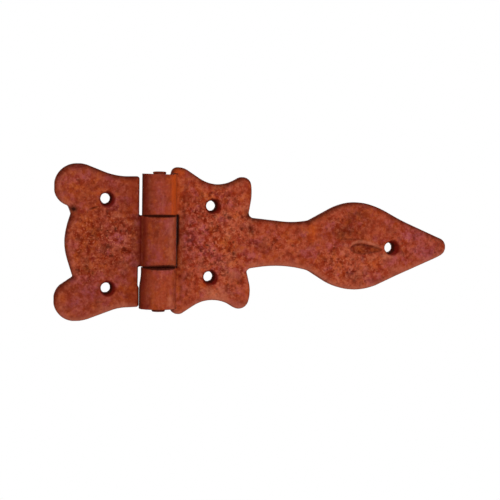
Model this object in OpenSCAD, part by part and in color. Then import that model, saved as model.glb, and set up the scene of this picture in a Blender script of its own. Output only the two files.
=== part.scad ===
// Strap hinge for a door: a scalloped frame leaf, a strap that ends in a spear, and the pin that joins them.
// It stands upright: +Z runs up the pin, -Y is the front, and the backs of both leaves lie on Y = 0.
// The origin is midway between the frame leaf's two screw holes, on its back.
// Each leaf is drawn lying on its back, X to the right, Y up the pin and Z to the front, and is then stood up.

/* [Plates] */
// Thickness of both leaves
plate_t = 5; // [4:0.1:6]
// Radius that eases the front edges of both leaves
edge_r = 0.9; // [0.4:0.1:1.1]

/* [Pin] */
// Diameter of the pin
pin_d = 6; // [4.5:0.1:7]
// Radial clearance of the pin in the frame leaf's knuckle, which turns on it
pin_play = 0.06; // [0.03:0.01:0.09]
// Radial clearance of the pin in the strap's two knuckles, which carry it
pin_seat = 0.02; // [0.01:0.01:0.03]
// How far the top of the pin stands past the knuckles
pin_top = 1.3; // [0.8:0.1:4]
// How far the foot of the pin stands past the knuckles
pin_foot = 1.7; // [0.8:0.1:4]
// How much each end of the pin is spread past the pin's own radius
pin_spread = 0.15; // [0.05:0.05:0.4]
// Bevel round the ends of the pin
pin_bevel = 0.4; // [0.2:0.1:0.8]

/* [Knuckles] */
// Length of the strap's upper knuckle
upper_knuckle = 19; // [16:0.1:20]
// Length of the frame leaf's knuckle
middle_knuckle = 23.4; // [19:0.1:26]
// Length of the strap's lower knuckle
lower_knuckle = 18.8; // [16:0.1:20]
// Gap above the frame leaf's knuckle
upper_gap = 0.4; // [0.3:0.1:1.5]
// Gap below the frame leaf's knuckle
lower_gap = 0.8; // [0.3:0.1:1.5]
// Height of the middle of the frame leaf's knuckle above the origin
knuckle_rise = 1.2; // [0:0.1:3]
// Radius of the hollow blend between a knuckle and the front of its plate
blend_r = 2.5; // [1.5:0.1:4]
// Bevel round the ends of the knuckles
knuckle_bevel = 0.5; // [0.2:0.1:1]
// How much is dressed off the back of the knuckles, so that they lie flush
back_flat = 0.1; // [0.05:0.05:0.3]

/* [Screw holes] */
// Diameter of the screw holes
screw_d = 4.9; // [4:0.1:6]
// Diameter of the countersinks at the front
sink_d = 8.2; // [6.5:0.1:9]
// Full angle of the countersinks
sink_angle = 90; // [80:1:100]

/* [Frame leaf] */
// Distance from the screw holes to the pin
leaf_reach = 24.4; // [22:0.1:28]
// Distance between the screw holes
leaf_screws = 41.4; // [38:0.1:44]
// Gap between the leaf's straight edge and the strap's knuckles
leaf_gap = 1.3; // [1:0.1:2.5]
// How far the straight edge leans towards the pin at its top, and away from it at its foot
edge_lean = 0.3; // [0:0.05:0.5]
// Height of the upper corner next to the pin
upper_corner = 31; // [29:0.1:33]
// Depth of the lower corner next to the pin
lower_corner = 29.9; // [28:0.1:32]
// Distance from the screw holes to where the upper edge starts to rise, towards the pin
upper_sweep = 5; // [3:0.1:7]
// Distance from the screw holes to where the lower edge starts to fall, towards the pin
lower_sweep = 6.1; // [4:0.1:8]
// Distance from the screw holes to the shoulder of the upper lobe
upper_shoulder = 10.3; // [9:0.1:11]
// Distance from the screw holes to the shoulder of the lower lobe
lower_shoulder = 10.7; // [9:0.1:12]
// Radius of the sweeps and of the lobes' shoulders
sweep_r = 22; // [15:0.5:24]
// Distance from the screw holes to the outer side of the lobes
lobe_reach = 23.6; // [23:0.1:26]
// Height of the top of the upper lobe
upper_lobe = 36.8; // [36:0.1:39]
// Depth of the foot of the lower lobe
lower_lobe = 36.2; // [35:0.1:38]
// Radius of the lobes
lobe_r = 9.6; // [8:0.1:10]
// Height of the notch under the upper lobe
upper_notch = 17.4; // [16.5:0.1:19]
// Depth of the notch over the lower lobe
lower_notch = 17.4; // [16.5:0.1:19]
// Distance from the screw holes to the upper notch
upper_notch_in = 16.3; // [15:0.1:18]
// Distance from the screw holes to the lower notch
lower_notch_in = 14.6; // [14:0.1:17]
// Length of the short straight side below the upper notch
notch_side = 4.5; // [3:0.1:6]
// Radius in the bottom of the notches
notch_r = 0.7; // [0.5:0.1:1.5]
// Distance from the screw holes to the point of the belly, before it is rounded
belly_reach = 19.5; // [18:0.1:22]
// Radius of the belly
belly_r = 20; // [10:0.5:30]
// Radius of the corners next to the pin
corner_r = 1.5; // [1.4:0.1:3]

/* [Strap] */
// Height of the strap's middle line above the origin, at the pin
strap_rise = 1.1; // [0:0.1:2.5]
// How far the strap droops from square to the pin, in degrees
strap_droop = 1.3; // [0:0.1:2]
// Distance from the pin to the strap's screw pair
strap_screw_reach = 24.6; // [22:0.1:28]
// Distance between the two screw holes of that pair
strap_screws = 33.3; // [30:0.1:38]
// How far the middle of that pair is above the strap's middle line
strap_screw_rise = 0.4; // [0:0.1:0.6]
// Distance from the pin to the screw hole in the spear
tip_screw_reach = 112.6; // [112:0.1:118]
// Gap between the frame leaf's knuckle and the window round it
window_gap = 1; // [0.8:0.1:2]
// Radius in the corners of that window
window_r = 2; // [1:0.1:3]
// Distance from the pin to the upper inner horn
horn_start = 5.9; // [4.5:0.1:6.5]
// Distance from the pin to the lower inner horn
lower_horn_start = 7.3; // [4.5:0.1:8]
// Half height over the inner horns
horn_h = 34.1; // [33:0.1:37]
// Distance from the pin to the end of the inner horns' flat top
horn_end = 11.8; // [11:0.1:13]
// Radius of the inner horns
horn_r = 3.6; // [2:0.1:4]
// Distance from the pin to the bottom of the scallops
scallop_reach = 26.8; // [25:0.1:29]
// Half height at the corners of the scallops, before they are rounded
scallop_h = 24; // [23:0.1:27]
// Radius of the scallops
scallop_r = 16.5; // [12:0.5:19]
// Distance from the pin to the outer horns
outer_horn_reach = 42.0; // [41:0.1:44]
// Half height at the corners of the outer horns, before they are rounded
outer_horn_h = 33.6; // [32:0.1:36]
// Radius of the outer horns
outer_horn_r = 4.8; // [3:0.1:5]
// Distance from the pin to the outer horns' bulging flanks
flank_reach = 44.6; // [44.5:0.1:47]
// Half height of the widest part of the flanks
flank_h = 23.8; // [20:0.1:25]
// Radius of the flanks
flank_r = 20; // [10:0.5:24]
// Distance from the pin to the root of the neck
neck_root_reach = 42.2; // [41:0.1:44]
// Half height of the neck at its root
neck_root_h = 11.8; // [11:0.1:13.5]
// Radius in the corners at the root of the neck
neck_root_r = 2.4; // [1:0.1:3]
// Distance from the pin to the waist of the neck
waist_reach = 66.6; // [60:0.5:68]
// Half height at the waist of the neck
waist_h = 10; // [9:0.1:11]
// Radius of the waist
waist_r = 60; // [20:1:80]
// Distance from the pin to where the spear starts to flare
flare_reach = 73.4; // [71:0.1:77]
// Half height where the spear starts to flare
flare_h = 12.6; // [12:0.1:14]
// Radius of the flare
flare_r = 17.5; // [8:0.5:20]
// Distance from the pin to the widest part of the spear
spear_reach = 96.9; // [93:0.1:100]
// Half height at the corners of the spear, before they are rounded
spear_h = 25.6; // [24:0.1:28]
// Radius of the spear's shoulders
spear_r = 29.5; // [15:0.5:32]
// Distance from the pin to the bend in the spear's taper
taper_reach = 116.8; // [113:0.1:120]
// Half height at the bend in the taper
taper_h = 13.1; // [12.5:0.1:15]
// Radius of that bend
taper_r = 61; // [20:1:80]
// Distance from the pin to where the spear's edges would meet
point_reach = 149.2; // [140:0.1:156]
// Radius of the spear's point
point_r = 4.7; // [3:0.1:7]
// Distance from the pin to the middle of the thumb dent
dent_reach = 99.6; // [97:0.1:100.4]
// Length of the thumb dent
dent_l = 15; // [8:0.5:17]
// Width of the thumb dent
dent_w = 8.6; // [4:0.1:12]
// Depth of the thumb dent
dent_depth = 0.8; // [0.3:0.1:1.5]

/* [Hidden] */
$fn = 72;
arc_steps = 7;      // facets along each rounded corner of an outline
blend_steps = 8;    // facets along the hollow blend of a knuckle
dent_steps = 10;    // facets along the thumb dent
most_of_side = 0.98; // share of an outline's side that the rounding of its two ends may take
cut = 1;            // how far a cutting shape runs past what it cuts
tongue_inset = 0.5; // how far an outline's tongue stays inside the ends of its knuckle
rust = [0.56, 0.24, 0.16];
dark_rust = [0.45, 0.18, 0.12];

pin_r = pin_d / 2;
play_r = pin_r + pin_play;
knuckle_r = play_r + plate_t;
axis_h = knuckle_r - back_flat;
middle_foot = knuckle_rise - middle_knuckle / 2;
middle_top = middle_foot + middle_knuckle;
lower_top = middle_foot - lower_gap;
lower_foot = lower_top - lower_knuckle;
upper_foot = middle_top + upper_gap;
upper_top = upper_foot + upper_knuckle;
leaf_edge = leaf_reach - knuckle_r - leaf_gap;
window_reach = knuckle_r + window_gap;
blend_h = plate_t + blend_r;
blend_reach = sqrt(pow(knuckle_r + blend_r, 2) - pow(blend_h - axis_h, 2));

// Corners of the frame leaf, anticlockwise from its tongue: across, up, and the radius that rounds them
leaf_corners = [
    [leaf_reach, middle_foot + tongue_inset, 0],
    [leaf_reach, middle_top - tongue_inset, 0],
    [leaf_edge + edge_lean, middle_top - tongue_inset, notch_r],
    [leaf_edge + edge_lean, upper_corner, corner_r],
    [upper_sweep, upper_corner, sweep_r],
    [-upper_shoulder, upper_lobe, sweep_r],
    [-lobe_reach, upper_lobe, lobe_r],
    [-lobe_reach, upper_notch, lobe_r],
    [-upper_notch_in, upper_notch, notch_r],
    [-upper_notch_in, upper_notch - notch_side, notch_side],
    [-belly_reach, 0, belly_r],
    [-lower_notch_in, -lower_notch, notch_r],
    [-lobe_reach, -lower_notch, lobe_r],
    [-lobe_reach, -lower_lobe, lobe_r],
    [-lower_shoulder, -lower_lobe, sweep_r],
    [lower_sweep, -lower_corner, sweep_r],
    [leaf_edge - edge_lean, -lower_corner, corner_r],
    [leaf_edge - edge_lean, middle_foot + tongue_inset, notch_r]
];

// Corners of the strap's upper edge, from the far side of the inner horn to the taper of the spear
strap_edge = [
    [horn_end, horn_h, horn_r],
    [scallop_reach, scallop_h, scallop_r],
    [outer_horn_reach, outer_horn_h, outer_horn_r],
    [flank_reach, flank_h, flank_r],
    [neck_root_reach, neck_root_h, neck_root_r],
    [waist_reach, waist_h, waist_r],
    [flare_reach, flare_h, flare_r],
    [spear_reach, spear_h, spear_r],
    [taper_reach, taper_h, taper_r]
];

// Corners from the upper inner horn round the two tongues, with the window between them, to the lower inner horn
strap_tongues = [
    [horn_start, horn_h, horn_r],
    [horn_start, upper_top - strap_rise - tongue_inset, notch_r],
    [0, upper_top - strap_rise - tongue_inset, 0],
    [0, upper_foot - strap_rise + tongue_inset, 0],
    [window_reach, upper_foot - strap_rise + tongue_inset, window_r],
    [window_reach, lower_top - strap_rise - tongue_inset, window_r],
    [0, lower_top - strap_rise - tongue_inset, 0],
    [0, lower_foot - strap_rise + tongue_inset, 0],
    [lower_horn_start, lower_foot - strap_rise + tongue_inset, notch_r],
    [lower_horn_start, -horn_h, horn_r]
];

strap_corners = concat(
    [[point_reach, 0, point_r]],
    reversed(strap_edge),
    strap_tongues,
    [for (c = strap_edge) [c[0], -c[1], c[2]]]
);

function reversed(list) = [for (i = [len(list) - 1:-1:0]) list[i]];
function at(list, i) = list[(i + len(list)) % len(list)];
function spot(corner) = [corner[0], corner[1]];
function unit(v) = v / norm(v);
function turned(v) = [v[1], -v[0]];

// How far the rounding of corner i reaches along its two sides
function rounding_reach(corners, i) =
    let (p = spot(at(corners, i)),
         back = unit(spot(at(corners, i - 1)) - p),
         ahead = unit(spot(at(corners, i + 1)) - p))
    at(corners, i)[2] / tan(acos(back * ahead) / 2);

// The share of its radius that corner i can have on the side towards corner i + step
function side_share(corners, i, step) =
    let (length = norm(spot(at(corners, i + step)) - spot(at(corners, i))),
         wanted = rounding_reach(corners, i) + rounding_reach(corners, i + step))
    min(1, most_of_side * length / wanted);

// The points of corner i: an arc that touches both of its sides
function rounded_corner(corners, i) =
    let (p = spot(corners[i]),
         back = unit(spot(at(corners, i - 1)) - p),
         ahead = unit(spot(at(corners, i + 1)) - p),
         r = corners[i][2] * min(side_share(corners, i, -1), side_share(corners, i, 1)),
         half = acos(back * ahead) / 2,
         centre = p + unit(back + ahead) * r / sin(half),
         start = p + back * r / tan(half) - centre,
         sweep = (180 - 2 * half) * (back[0] * ahead[1] - back[1] * ahead[0] < 0 ? 1 : -1),
         first = atan2(start[1], start[0]))
    [for (k = [0:arc_steps]) let (a = first + sweep * k / arc_steps) centre + r * [cos(a), sin(a)]];

// A closed outline, anticlockwise, with each corner rounded to its own radius
function rounded_outline(corners) = [
    for (i = [0:len(corners) - 1])
        each corners[i][2] == 0 ? [spot(corners[i])] : rounded_corner(corners, i)
];

// An outline moved outwards by d, with its sides kept parallel
function moved_out(outline, d) = [
    for (i = [0:len(outline) - 1])
        let (before = turned(unit(outline[i] - at(outline, i - 1))),
             after = turned(unit(at(outline, i + 1) - outline[i])),
             middle = unit(before + after))
        outline[i] + middle * d / (middle * after)
];

// The waste that is taken off the front edge all round an outline: a ring with a hollow, quarter-round inner side
module edge_waste(outline) {
    facets = 3;     // along the quarter round
    run_on = 0.5;   // how far its two end facets run on, as a share of their length
    outside = 0.4;  // how far the waste reaches past the outline
    round_points = [
        for (k = [0:facets]) let (a = 90 * k / facets)
            [edge_r * (cos(a) - 1), plate_t - edge_r + edge_r * sin(a)]
    ];
    first = round_points[0] + (round_points[0] - round_points[1]) * run_on;
    last = round_points[facets] + (round_points[facets] - round_points[facets - 1]) * run_on;
    section = concat(
        [first], [for (k = [1:facets - 1]) round_points[k]], [last],
        [[last[0], plate_t + cut], [outside, plate_t + cut], [outside, first[1]]]
    );
    rings = [for (s = section) moved_out(outline, s[0])];
    n = len(outline);
    m = len(section);
    polyhedron(
        points = [for (j = [0:m - 1], i = [0:n - 1]) [rings[j][i][0], rings[j][i][1], section[j][1]]],
        faces = [
            for (j = [0:m - 1], i = [0:n - 1])
                [j * n + i, j * n + (i + 1) % n, ((j + 1) % m) * n + (i + 1) % n, ((j + 1) % m) * n + i]
        ]
    );
}

// A plate cut to an outline, with its front edge eased
module eased_plate(corners) {
    outline = rounded_outline(corners);
    difference() {
        linear_extrude(plate_t) polygon(outline);
        edge_waste(outline);
    }
}

// A solid turned round the pin's axis from points of radius and height
module round_the_pin(points) {
    translate([leaf_reach, 0, axis_h]) rotate([-90, 0, 0]) rotate_extrude() polygon(points);
}

// One knuckle from its foot up, with the tongue behind the pin and the blend that joins them to a plate.
// side is 1 where that plate lies to the right of the pin, and -1 where it lies to the left.
module knuckle(foot, length, side) {
    top = foot + length;
    round_the_pin([
        [0, foot], [knuckle_r - knuckle_bevel, foot], [knuckle_r, foot + knuckle_bevel],
        [knuckle_r, top - knuckle_bevel], [knuckle_r - knuckle_bevel, top], [0, top]
    ]);
    touch = 180 + asin((blend_h - axis_h) / (knuckle_r + blend_r));
    hollow = [
        for (k = [0:blend_steps]) let (a = touch + (270 - touch) * k / blend_steps)
            [blend_reach, blend_h] + blend_r * [cos(a), sin(a)]
    ];
    translate([leaf_reach, top, 0]) mirror([side < 0 ? 1 : 0, 0, 0]) rotate([90, 0, 0])
        linear_extrude(length) polygon(concat([[0, axis_h]], hollow, [[blend_reach, 0], [0, 0]]));
}

// Clears the pin's way and dresses the back of the knuckles flush with the plates
module knuckle_waste(bore_r) {
    round_the_pin([
        [0, lower_foot - cut], [bore_r, lower_foot - cut], [bore_r, upper_top + cut], [0, upper_top + cut]
    ]);
    translate([leaf_reach - knuckle_r, lower_foot - cut, -cut])
        cube([2 * knuckle_r, upper_top - lower_foot + 2 * cut, cut]);
}

// A screw hole with its countersink at the front
module screw_hole(x, y) {
    slope = tan(sink_angle / 2);
    sink_h = (sink_d - screw_d) / 2 / slope;
    translate([x, y, -cut]) cylinder(d = screw_d, h = plate_t + 2 * cut);
    translate([x, y, plate_t - sink_h])
        cylinder(d1 = screw_d, d2 = sink_d + 2 * cut * slope, h = sink_h + cut);
}

// The shallow dent that a thumb would fill, hollowed by a barrel that lies along the strap
module thumb_dent() {
    across_r = (pow(dent_w / 2, 2) + pow(dent_depth, 2)) / (2 * dent_depth);
    along_r = (pow(dent_l / 2, 2) + pow(dent_depth, 2)) / (2 * dent_depth);
    end = dent_l / 2 + tongue_inset;
    barrel = [
        for (k = [0:dent_steps]) let (x = -end + 2 * end * k / dent_steps)
            [across_r - along_r + sqrt(pow(along_r, 2) - pow(x, 2)), x]
    ];
    translate([dent_reach, 0, plate_t - dent_depth + across_r]) rotate([0, 90, 0])
        rotate_extrude() polygon(concat([[0, -end]], barrel, [[0, end]]));
}

// Stands up what was drawn lying on its back
module upright() {
    rotate([90, 0, 0]) children();
}

// Moves what is drawn along the strap's own middle line, from the pin, to its place
module along_strap() {
    translate([leaf_reach, strap_rise, 0]) rotate([0, 0, -strap_droop]) children();
}

module frame_leaf() {
    color(rust) upright() difference() {
        union() {
            eased_plate(leaf_corners);
            knuckle(middle_foot, middle_knuckle, -1);
        }
        knuckle_waste(play_r);
        for (y = [-1, 1] * leaf_screws / 2) screw_hole(0, y);
    }
}

module strap_leaf() {
    color(rust) upright() difference() {
        union() {
            along_strap() eased_plate(strap_corners);
            knuckle(upper_foot, upper_knuckle, 1);
            knuckle(lower_foot, lower_knuckle, 1);
        }
        knuckle_waste(pin_r + pin_seat);
        along_strap() {
            for (y = [-1, 1] * strap_screws / 2) screw_hole(strap_screw_reach, strap_screw_rise + y);
            screw_hole(tip_screw_reach, 0);
            thumb_dent();
        }
    }
}

module hinge_pin() {
    head_r = pin_r + pin_spread;
    low = lower_foot - pin_foot;
    high = upper_top + pin_top;
    color(dark_rust) upright() round_the_pin([
        [0, low], [head_r - pin_bevel, low], [head_r, low + pin_bevel], [head_r, lower_foot],
        [pin_r, lower_foot], [pin_r, upper_top], [head_r, upper_top],
        [head_r, high - pin_bevel], [head_r - pin_bevel, high], [0, high]
    ]);
}

frame_leaf();
strap_leaf();
hinge_pin();
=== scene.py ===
"""Gives a rusted door hinge its looks round its fixed model: two forged leaves, their pin, and a stage."""

from typing import NamedTuple

import bpy
import numpy as np
from bpy.props import FloatProperty, FloatVectorProperty, PointerProperty
from mathutils import Matrix, Vector


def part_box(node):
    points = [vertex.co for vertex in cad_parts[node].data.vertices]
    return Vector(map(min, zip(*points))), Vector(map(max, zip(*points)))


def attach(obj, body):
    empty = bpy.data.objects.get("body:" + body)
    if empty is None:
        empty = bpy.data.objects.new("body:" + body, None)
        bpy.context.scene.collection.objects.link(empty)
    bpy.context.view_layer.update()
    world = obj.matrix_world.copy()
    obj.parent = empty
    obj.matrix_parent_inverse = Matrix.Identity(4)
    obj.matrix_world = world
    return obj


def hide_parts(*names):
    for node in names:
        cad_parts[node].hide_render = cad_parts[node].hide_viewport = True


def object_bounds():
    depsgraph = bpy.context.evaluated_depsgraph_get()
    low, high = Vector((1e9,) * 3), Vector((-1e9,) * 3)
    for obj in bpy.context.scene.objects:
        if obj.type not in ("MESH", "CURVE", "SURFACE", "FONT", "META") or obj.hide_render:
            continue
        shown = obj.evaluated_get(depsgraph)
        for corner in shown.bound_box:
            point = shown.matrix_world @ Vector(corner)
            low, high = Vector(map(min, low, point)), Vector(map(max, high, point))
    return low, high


bl_info = {
    "name": "Door Hinge",
    "version": (1, 0, 0),
    "blender": (4, 5, 0),
    "location": "View3D > Sidebar > Hinge",
    "description": "Makes a rusted strap hinge round its fixed model, and a stage for it",
    "category": "Object",
}

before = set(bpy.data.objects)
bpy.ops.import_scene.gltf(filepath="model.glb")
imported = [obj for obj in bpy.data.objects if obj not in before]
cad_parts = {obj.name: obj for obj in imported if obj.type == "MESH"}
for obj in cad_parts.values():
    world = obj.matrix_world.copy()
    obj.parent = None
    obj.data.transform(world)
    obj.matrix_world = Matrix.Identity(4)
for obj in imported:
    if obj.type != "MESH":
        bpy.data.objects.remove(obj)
MODEL_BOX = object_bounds()

# The model's own places, in millimetres: heights are counted from the flat backs towards the front
MM = 0.001
PIN_BOX = np.array(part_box("hinge_pin")) / MM
STRAP_BOX = np.array(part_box("strap_leaf")) / MM
PIN_X = (PIN_BOX[0, 0] + PIN_BOX[1, 0]) / 2
PIN_Y = (PIN_BOX[0, 1] + PIN_BOX[1, 1]) / 2
AXIS_H = -PIN_Y
BARREL_R = -STRAP_BOX[0, 1] - AXIS_H


class Knuckle(NamedTuple):
    """A knuckle's foot and top up the pin, and the radii of its foot, left and right, and of its top."""

    foot: float
    top: float
    left_edge: float
    right_edge: float
    top_edge: float


class Hole(NamedTuple):
    """Middle of a screw hole, and how far aside and above it the middle of its countersink lies."""

    x: float
    z: float
    aside: float
    above: float


class Leaf(NamedTuple):
    """What sets one leaf apart: its corners, screw holes and knuckles, the side of the pin that it lies on (1
    for the right), its soft marks and the seed of its noise."""

    corners: list
    holes: list
    knuckles: list
    side: int
    marks: dict
    seed: int


UPPER = Knuckle(13.12, 32.5, 1.1, 1.1, 0.4)
MIDDLE = Knuckle(-10.75, 13.04, 1.4, 2.0, 1.2)
LOWER = Knuckle(-30.3, -11.0, 0.3, 0.3, 1.4)

# Where the barrel's side is cut off, as the sine of the angle it has reached there
SIDE_END = 0.9994
BARREL_SIDE = BARREL_R * SIDE_END

# Radii of the pin's way through the frame leaf, through the strap's knuckles, and of the pin between its ends
LEAF_WAY = 3.06
STRAP_WAY = 3.02
PIN_R = 3.0

# Right edge of the frame leaf, beside the upper knuckle and beside the fuller lower one
LEAF_EDGE = 15.6
LOW_EDGE = 15.5

# Corners of the frame leaf, anticlockwise from the front: across, up, and the radius that rounds them
LEAF_CORNERS = [
    (PIN_X + BARREL_SIDE, MIDDLE.foot, 0.25),
    (PIN_X + BARREL_SIDE, MIDDLE.top, 0.25),
    (LEAF_EDGE, MIDDLE.top, 0.6),
    (LEAF_EDGE, 31.2, 1.2),
    (4.65, 31.0, 31.5),
    (-10.4, 36.85, 13.5),
    (-24.0, 36.8, 12.0),
    (-23.6, 19.4, 10.6),
    (-17.4, 17.15, 1.6),
    (-16.05, 13.6, 1.5),
    (-17.55, 8.85, 10),
    (-19.55, -0.15, 25.8),
    (-17.5, -7.8, 20),
    (-15.0, -15.65, 0.6),
    (-21.65, -20.1, 7.1),
    (-23.75, -24.0, 8.6),
    (-23.6, -36.0, 9.8),
    (-10.75, -36.35, 20),
    (6.1, -30.2, 22),
    (LOW_EDGE, -29.8, 1.0),
    (LOW_EDGE, -20.2, 0.5),
    (LOW_EDGE - 0.3, -19.6, 0.5),
    (LOW_EDGE - 0.2, MIDDLE.foot - 0.3, 0.25),
    (16.4, MIDDLE.foot, 0.3),
]

# Corners of the strap along its own middle line, from the pin: along, across, and the radius that rounds them
STRAP_UPPER = [
    (6.15, 35.0, 3.0),
    (11.5, 34.5, 7.8),
    (27.35, 24.6, 16.4),
    (42.85, 33.8, 4.4),
    (44.4, 23.3, 29),
    (42.7, 12.3, 2.4),
    (66.15, 10.3, 86),
    (72.75, 11.7, 4.0),
    (84.35, 18.35, 30),
    (94.55, 22.4, 33),
    (106.9, 18.95, 60),
    (118.45, 13.05, 90),
    (136.65, 5.65, 56),
]
STRAP_POINT = (147.75, 1.5, 4.6)
STRAP_LOWER = [
    (136.75, -4.6, 59),
    (117.1, -13.6, 68),
    (106.55, -18.75, 24),
    (94.55, -22.9, 41),
    (82.5, -17.9, 38),
    (73.3, -12.4, 9),
    (60.5, -9.2, 72),
    (44.2, -11.9, 2.5),
    (42.9, -13.2, 0.9),
    (45.45, -22.95, 18),
    (42.65, -33.9, 5.2),
    (26.7, -24.1, 16.5),
    (11.85, -34.25, 3.5),
    (7.6, -34.0, 3.2),
]

# The strap's middle line: its height at the pin, and how far it turns down, and the width of the window's gap
STRAP_RISE = 1.1
STRAP_DROOP = np.radians(1.3)
WINDOW_GAP = 1.0

LEAF_HOLES = [Hole(-0.15, 20.75, 0.85, -0.5), Hole(0.3, -20.8, 0.85, -0.4)]
STRAP_HOLES = [Hole(49.65, 17.7, 0.85, -0.25), Hole(48.75, -15.6, 0.8, -0.6), Hole(137.1, -1.65, 1.6, -0.2)]

# The strap's thumb dent: its middle, reach to either side, half height, and how far it leans over its reach
DENT_X, DENT_Z = 125.2, -2.45
DENT_REACH = 7.6
DENT_HALF = 2.9
DENT_LEAN = 0.3

# Height of the ridge above the dent, depth of the rust's pits and brush lines, and height of its flakes
RIDGE_HEIGHT = 0.30
PIT_DEPTH = 0.30
BRUSH_DEPTH = 0.05
FLAKE_HEIGHT = 0.16

# Radius of the pin's ends, their profile as radius and distance from the tip, and half its hidden length
PIN_HEAD = (PIN_BOX[1, 0] - PIN_BOX[0, 0]) / 2
PIN_END = [(0.8, 0), (1.6, 0.02), (2.3, 0.08)]
PIN_END += [(PIN_HEAD - 0.35, 0.14), (PIN_HEAD - 0.12, 0.28), (PIN_HEAD, 0.5), (PIN_HEAD, 0.9)]
PIN_HIDDEN = 29

# Radius of the flat backs' edges, softness of the countersinks' rims, and the height that they go down to
BACK_EDGE = 0.4
SINK_SOFT = 0.2
SINK_FLOOR = 1.2

# Points round the pin and its way, rows down a leaf's walls, and the least angles of hard sides in degrees
AROUND = 96
WALL_ROWS = 7
LEAF_SHARP, PIN_SHARP = 55, 50

# Soft spots, as middle, half width and half height: the pit in the upper notch, the stain below the dent
# The notch's dip is also darkened as painted shade
NOTCH_SHADED_PIT = (-14.9, 15.6, 1.5, 1.3)
DENT_STAIN = (123.9, -7.0, 1.0, 1.5)

# Soft marks on each leaf: across, up, half the width, half the height, and strength
LEAF_MARKS = {
    "stain": [
        (-21.4, 20.6, 1.6, 2.6, 0.35), (-7.2, -2.8, 2.6, 2.6, 0.6), (-8.0, -13.5, 2.4, 1.8, 0.6),
        (-4.1, -13.9, 2.2, 1.6, 0.5), (-0.9, 10.4, 2.4, 2.4, 0.4),
    ],
    "glow": [
        (-3.3, 22.9, 0.9, 0.9, 0.8),
    ],
    "warm": [
        (-6.5, -13.7, 3.6, 2.0, 0.9), (-7.3, -3.2, 2.6, 2.6, 0.7), (-14.4, 25.4, 4.1, 4.6, 0.7),
        (-8.3, 8.8, 4.6, 5.1, 0.6), (-10.0, -1.8, 5.1, 4.2, 0.6), (-7.2, -12.5, 3.7, 4.2, 0.6),
        (-19.5, -25.4, 2.3, 2.8, 0.6), (10.6, -22.7, 4.2, 4.2, 0.5), (-2.0, 24.1, 3.2, 1.8, 0.4),
        (-2.5, -17.6, 2.8, 1.9, 0.4),
    ],
    "cool": [
        (27.5, 7.5, 2.2, 3.0, 0.8), (-10.3, 30.0, 2.3, 1.8, 0.6), (4.0, 27.0, 5.6, 3.2, 0.4),
        (5.7, 2.0, 4.2, 3.3, 0.8), (11.4, -6.9, 3.3, 2.8, 0.5), (-6.2, -22.7, 4.6, 4.2, 0.9),
        (-13.5, -27.8, 5.1, 4.2, 0.6), (0.0, 9.8, 3.2, 2.8, 0.3),
    ],
    # Dark marks; the strongest one, in the upper notch, is painted shade
    "pit": [
        (-6.5, -13.7, 3.6, 2.0, 0.14), (-13.0, -26.5, 10.0, 9.0, 0.09), (-13.5, 36.2, 9.0, 3.6, 0.26),
        (-15.3, 15.9, 1.5, 1.5, 1.2), (-6.0, 5.1, 2.3, 1.9, 0.5), (-8.6, -11.5, 1.8, 2.8, 0.5),
        (-3.4, -27.3, 2.3, 0.5, 0.5), (-11.0, 1.4, 1.8, 1.4, 0.35), (7.1, -3.2, 2.3, 1.4, 0.3),
        (26.6, 6.0, 2.0, 2.4, 0.22),
    ],
    "rub": [
        (9.2, -11.6, 2.2, 2.0, 0.6), (7.4, -28.4, 3.0, 1.2, 0.7), (0.0, -30.2, 3.0, 1.2, 0.7),
        (-2.3, -2.3, 1.8, 1.6, 0.5), (11.1, 0.5, 1.8, 2.4, 0.5), (5.1, 12.6, 1.9, 1.4, 0.6),
        (8.9, 1.0, 1.4, 1.4, 0.5), (3.4, -3.2, 1.4, 1.9, 0.4), (-0.9, 9.8, 1.4, 0.9, 0.4),
    ],
    "rough": [
        (1.7, 2.2, 17.5, 14.5, 1.0), (-7.0, -11.5, 8.5, 6.5, 0.8), (-12.2, 28.2, 10.5, 7.2, 0.25),
    ],
}
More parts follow.
